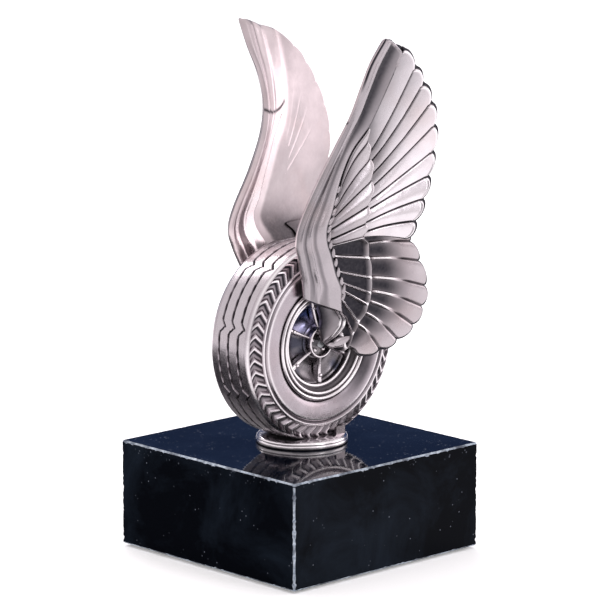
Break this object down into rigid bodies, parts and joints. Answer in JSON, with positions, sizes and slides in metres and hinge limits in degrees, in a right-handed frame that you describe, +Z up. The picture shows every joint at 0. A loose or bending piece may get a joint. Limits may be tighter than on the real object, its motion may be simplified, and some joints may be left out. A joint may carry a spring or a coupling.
{
  "type": "winged wheel hood ornament on stone base",
  "caption": "Car mascot of a winged road wheel: tyre with dished spoked hubs between two raised feathered wings, on a polished disc and square black stone block.",
  "frame": {"origin": "centre of the felt's underside, the face that the ornament rests on", "axes": "+Z up, -Y the direction of travel (front of the wheel), +X along the axle to the wheel's left side"},
  "size_m": [0.09, 0.09, 0.1867],
  "materials": {
    "antique_nickel": "antiqued nickel plate, polished on the high spots and dark in the grooves",
    "bright_nickel": "polished nickel plate with fine hairline scratches",
    "steel": "plain zinc-plated steel",
    "black_stone": "mirror-polished black stone with fine pale specks and a lightly chipped chamfer",
    "green_felt": "dense wool felt"
  },
  "bodies": {
    "root": {"stone_base": "black_stone", "felt_pad": "green_felt", "mounting_stud": "steel", "fixing_nut": "steel", "lock_washer": "steel", "flat_washer": "steel", "locating_pin": "steel", "plinth_disc": "bright_nickel", "wheel_saddle": "antique_nickel", "tyre": "antique_nickel", "hub_barrel": "steel", "axle_rod": "steel", "left_rim": "antique_nickel", "right_rim": "antique_nickel", "left_wheel_dish": "bright_nickel", "right_wheel_dish": "bright_nickel", "left_spoke_spider": "antique_nickel", "right_spoke_spider": "antique_nickel", "left_spoke_rivets": "bright_nickel", "right_spoke_rivets": "bright_nickel", "left_wheel_bolts": "bright_nickel", "right_wheel_bolts": "bright_nickel", "left_axle_nut": "steel", "right_axle_nut": "steel", "left_wing_stud": "steel", "right_wing_stud": "steel", "left_wing_washer": "steel", "right_wing_washer": "steel", "left_wing_nut": "steel", "right_wing_nut": "steel", "left_wing_arm": "bright_nickel", "right_wing_arm": "bright_nickel", "left_coverts": "antique_nickel", "right_coverts": "antique_nickel", "left_upper_feathers": "bright_nickel", "right_upper_feathers": "bright_nickel", "left_lower_feathers": "antique_nickel", "right_lower_feathers": "antique_nickel"}
  },
  "joints": []
}
